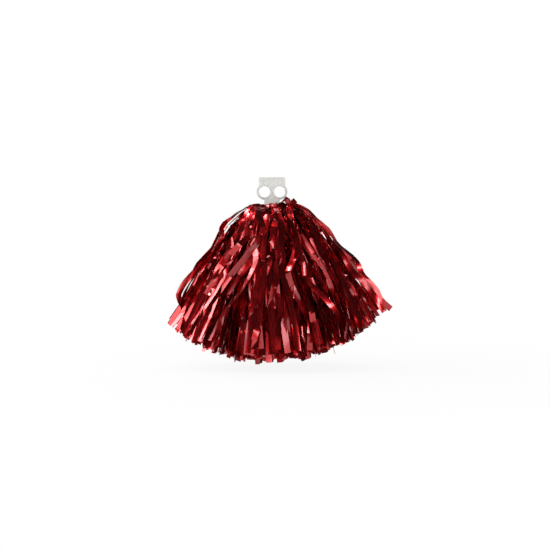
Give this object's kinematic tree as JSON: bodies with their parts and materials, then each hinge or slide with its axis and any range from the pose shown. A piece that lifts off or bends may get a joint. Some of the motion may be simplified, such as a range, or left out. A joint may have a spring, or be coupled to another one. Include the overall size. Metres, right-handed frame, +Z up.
{
  "type": "cheer pom pom",
  "caption": "Hand-held cheerleading pom pom: a flat handle with finger holes over a full bell of glossy film streamers.",
  "frame": {"origin": "centre of the handle's web midway between the two finger holes, on the plate's middle plane", "axes": "+Z up along the handle, away from the streamers; X from one finger hole to the other; -Y towards the handle's front face"},
  "size_m": [0.4294, 0.2544, 0.3595],
  "materials": {
    "handle_plastic": "hazy translucent white polyethylene",
    "tie_nylon": "satin natural nylon",
    "streamer_film": "metallised red film, mirror-like"
  },
  "bodies": {
    "handle": {"handle": "handle_plastic"},
    "bundle": {"cable_tie": "tie_nylon", "streamer_header": "streamer_film", "core_tuft": "streamer_film"},
    "outer_000": {"outer_tuft_000": "streamer_film"},
    "outer_030": {"outer_tuft_030": "streamer_film"},
    "outer_060": {"outer_tuft_060": "streamer_film"},
    "outer_090": {"outer_tuft_090": "streamer_film"},
    "outer_120": {"outer_tuft_120": "streamer_film"},
    "outer_150": {"outer_tuft_150": "streamer_film"},
    "outer_180": {"outer_tuft_180": "streamer_film"},
    "outer_210": {"outer_tuft_210": "streamer_film"},
    "outer_240": {"outer_tuft_240": "streamer_film"},
    "outer_270": {"outer_tuft_270": "streamer_film"},
    "outer_300": {"outer_tuft_300": "streamer_film"},
    "outer_330": {"outer_tuft_330": "streamer_film"},
    "inner_000": {"inner_tuft_000": "streamer_film"},
    "inner_030": {"inner_tuft_030": "streamer_film"},
    "inner_060": {"inner_tuft_060": "streamer_film"},
    "inner_090": {"inner_tuft_090": "streamer_film"},
    "inner_120": {"inner_tuft_120": "streamer_film"},
    "inner_150": {"inner_tuft_150": "streamer_film"},
    "inner_180": {"inner_tuft_180": "streamer_film"},
    "inner_210": {"inner_tuft_210": "streamer_film"},
    "inner_240": {"inner_tuft_240": "streamer_film"},
    "inner_270": {"inner_tuft_270": "streamer_film"},
    "inner_300": {"inner_tuft_300": "streamer_film"},
    "inner_330": {"inner_tuft_330": "streamer_film"}
  },
  "joints": [
    {"name": "handle_swing", "type": "hinge", "parent": "handle", "child": "bundle", "pos_m": [0, 0, -0.031], "axis": [1, 0, 0], "range_deg": [-35, 35]},
    {"name": "outer_lift_000", "type": "hinge", "parent": "bundle", "child": "outer_000", "pos_m": [0.019, 0, -0.04], "axis": [0, -1, 0], "range_deg": [0, 45]},
    {"name": "outer_lift_030", "type": "hinge", "parent": "bundle", "child": "outer_030", "pos_m": [0.01645, 0.0095, -0.04], "axis": [0.5, -0.866, 0], "range_deg": [0, 45]},
    {"name": "outer_lift_060", "type": "hinge", "parent": "bundle", "child": "outer_060", "pos_m": [0.0095, 0.01645, -0.04], "axis": [0.866, -0.5, 0], "range_deg": [0, 45]},
    {"name": "outer_lift_090", "type": "hinge", "parent": "bundle", "child": "outer_090", "pos_m": [0, 0.019, -0.04], "axis": [1, 0, 0], "range_deg": [0, 45]},
    {"name": "outer_lift_120", "type": "hinge", "parent": "bundle", "child": "outer_120", "pos_m": [-0.0095, 0.01645, -0.04], "axis": [0.866, 0.5, 0], "range_deg": [0, 45]},
    {"name": "outer_lift_150", "type": "hinge", "parent": "bundle", "child": "outer_150", "pos_m": [-0.01645, 0.0095, -0.04], "axis": [0.5, 0.866, 0], "range_deg": [0, 45]},
    {"name": "outer_lift_180", "type": "hinge", "parent": "bundle", "child": "outer_180", "pos_m": [-0.019, 0, -0.04], "axis": [0, 1, 0], "range_deg": [0, 45]},
    {"name": "outer_lift_210", "type": "hinge", "parent": "bundle", "child": "outer_210", "pos_m": [-0.01645, -0.0095, -0.04], "axis": [-0.5, 0.866, 0], "range_deg": [0, 45]},
    {"name": "outer_lift_240", "type": "hinge", "parent": "bundle", "child": "outer_240", "pos_m": [-0.0095, -0.01645, -0.04], "axis": [-0.866, 0.5, 0], "range_deg": [0, 45]},
    {"name": "outer_lift_270", "type": "hinge", "parent": "bundle", "child": "outer_270", "pos_m": [0, -0.019, -0.04], "axis": [-1, 0, 0], "range_deg": [0, 45]},
    {"name": "outer_lift_300", "type": "hinge", "parent": "bundle", "child": "outer_300", "pos_m": [0.0095, -0.01645, -0.04], "axis": [-0.866, -0.5, 0], "range_deg": [0, 45]},
    {"name": "outer_lift_330", "type": "hinge", "parent": "bundle", "child": "outer_330", "pos_m": [0.01645, -0.0095, -0.04], "axis": [-0.5, -0.866, 0], "range_deg": [0, 45]},
    {"name": "inner_lift_000", "type": "hinge", "parent": "bundle", "child": "inner_000", "pos_m": [0.019, 0, -0.04], "axis": [0, -1, 0], "range_deg": [0, 36]},
    {"name": "inner_lift_030", "type": "hinge", "parent": "bundle", "child": "inner_030", "pos_m": [0.01645, 0.0095, -0.04], "axis": [0.5, -0.866, 0], "range_deg": [0, 36]},
    {"name": "inner_lift_060", "type": "hinge", "parent": "bundle", "child": "inner_060", "pos_m": [0.0095, 0.01645, -0.04], "axis": [0.866, -0.5, 0], "range_deg": [0, 36]},
    {"name": "inner_lift_090", "type": "hinge", "parent": "bundle", "child": "inner_090", "pos_m": [0, 0.019, -0.04], "axis": [1, 0, 0], "range_deg": [0, 36]},
    {"name": "inner_lift_120", "type": "hinge", "parent": "bundle", "child": "inner_120", "pos_m": [-0.0095, 0.01645, -0.04], "axis": [0.866, 0.5, 0], "range_deg": [0, 36]},
    {"name": "inner_lift_150", "type": "hinge", "parent": "bundle", "child": "inner_150", "pos_m": [-0.01645, 0.0095, -0.04], "axis": [0.5, 0.866, 0], "range_deg": [0, 36]},
    {"name": "inner_lift_180", "type": "hinge", "parent": "bundle", "child": "inner_180", "pos_m": [-0.019, 0, -0.04], "axis": [0, 1, 0], "range_deg": [0, 36]},
    {"name": "inner_lift_210", "type": "hinge", "parent": "bundle", "child": "inner_210", "pos_m": [-0.01645, -0.0095, -0.04], "axis": [-0.5, 0.866, 0], "range_deg": [0, 36]},
    {"name": "inner_lift_240", "type": "hinge", "parent": "bundle", "child": "inner_240", "pos_m": [-0.0095, -0.01645, -0.04], "axis": [-0.866, 0.5, 0], "range_deg": [0, 36]},
    {"name": "inner_lift_270", "type": "hinge", "parent": "bundle", "child": "inner_270", "pos_m": [0, -0.019, -0.04], "axis": [-1, 0, 0], "range_deg": [0, 36]},
    {"name": "inner_lift_300", "type": "hinge", "parent": "bundle", "child": "inner_300", "pos_m": [0.0095, -0.01645, -0.04], "axis": [-0.866, -0.5, 0], "range_deg": [0, 36]},
    {"name": "inner_lift_330", "type": "hinge", "parent": "bundle", "child": "inner_330", "pos_m": [0.01645, -0.0095, -0.04], "axis": [-0.5, -0.866, 0], "range_deg": [0, 36]}
  ],
  "couplings": [
    {"joint": "inner_lift_000", "follows": "outer_lift_000", "ratio": 0.8},
    {"joint": "inner_lift_030", "follows": "outer_lift_030", "ratio": 0.8},
    {"joint": "inner_lift_060", "follows": "outer_lift_060", "ratio": 0.8},
    {"joint": "inner_lift_090", "follows": "outer_lift_090", "ratio": 0.8},
    {"joint": "inner_lift_120", "follows": "outer_lift_120", "ratio": 0.8},
    {"joint": "inner_lift_150", "follows": "outer_lift_150", "ratio": 0.8},
    {"joint": "inner_lift_180", "follows": "outer_lift_180", "ratio": 0.8},
    {"joint": "inner_lift_210", "follows": "outer_lift_210", "ratio": 0.8},
    {"joint": "inner_lift_240", "follows": "outer_lift_240", "ratio": 0.8},
    {"joint": "inner_lift_270", "follows": "outer_lift_270", "ratio": 0.8},
    {"joint": "inner_lift_300", "follows": "outer_lift_300", "ratio": 0.8},
    {"joint": "inner_lift_330", "follows": "outer_lift_330", "ratio": 0.8}
  ]
}
